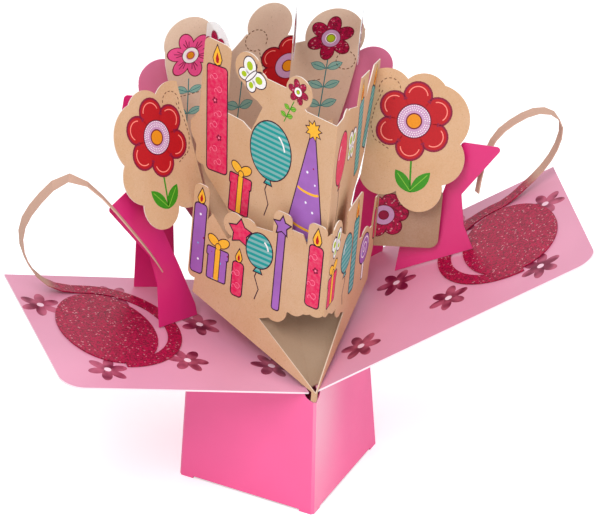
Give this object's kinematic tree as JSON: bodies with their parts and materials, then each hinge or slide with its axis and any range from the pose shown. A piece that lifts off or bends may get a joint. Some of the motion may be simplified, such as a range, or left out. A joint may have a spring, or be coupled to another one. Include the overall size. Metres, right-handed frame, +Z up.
{
  "type": "pop up card",
  "caption": "Standing pop up card: a folded base box, two spread cover wings and a bouquet of die-cut kraft layers, discs and curled glitter strips.",
  "frame": {"origin": "under the front fold of the base box, on the bottom face of its foot", "axes": "+X from the left wing to the right one, -Y towards the front fold of the box, +Z up"},
  "size_m": [0.2434, 0.1154, 0.1998],
  "materials": {
    "hot_pink_board": "satin board",
    "pale_pink_board": "satin board",
    "kraft_board": "matt board",
    "clear_film": "clear film",
    "glitter_paper": "glitter"
  },
  "bodies": {
    "root": {"base_box": "hot_pink_board", "left_wing": "pale_pink_board", "right_wing": "pale_pink_board", "rear_cover": "pale_pink_board", "kraft_core": "kraft_board", "lower_banner": "kraft_board", "upper_banner": "kraft_board", "petals": "kraft_board", "left_scallop_panel": "kraft_board", "right_scallop_panel": "kraft_board", "corner_panel": "kraft_board", "left_strut": "hot_pink_board", "right_strut": "hot_pink_board", "rear_left_strut": "hot_pink_board", "rear_right_strut": "hot_pink_board", "left_disc": "clear_film", "middle_disc": "clear_film", "right_disc": "clear_film", "left_glitter_spiral": "glitter_paper", "right_glitter_spiral": "glitter_paper"}
  },
  "joints": []
}
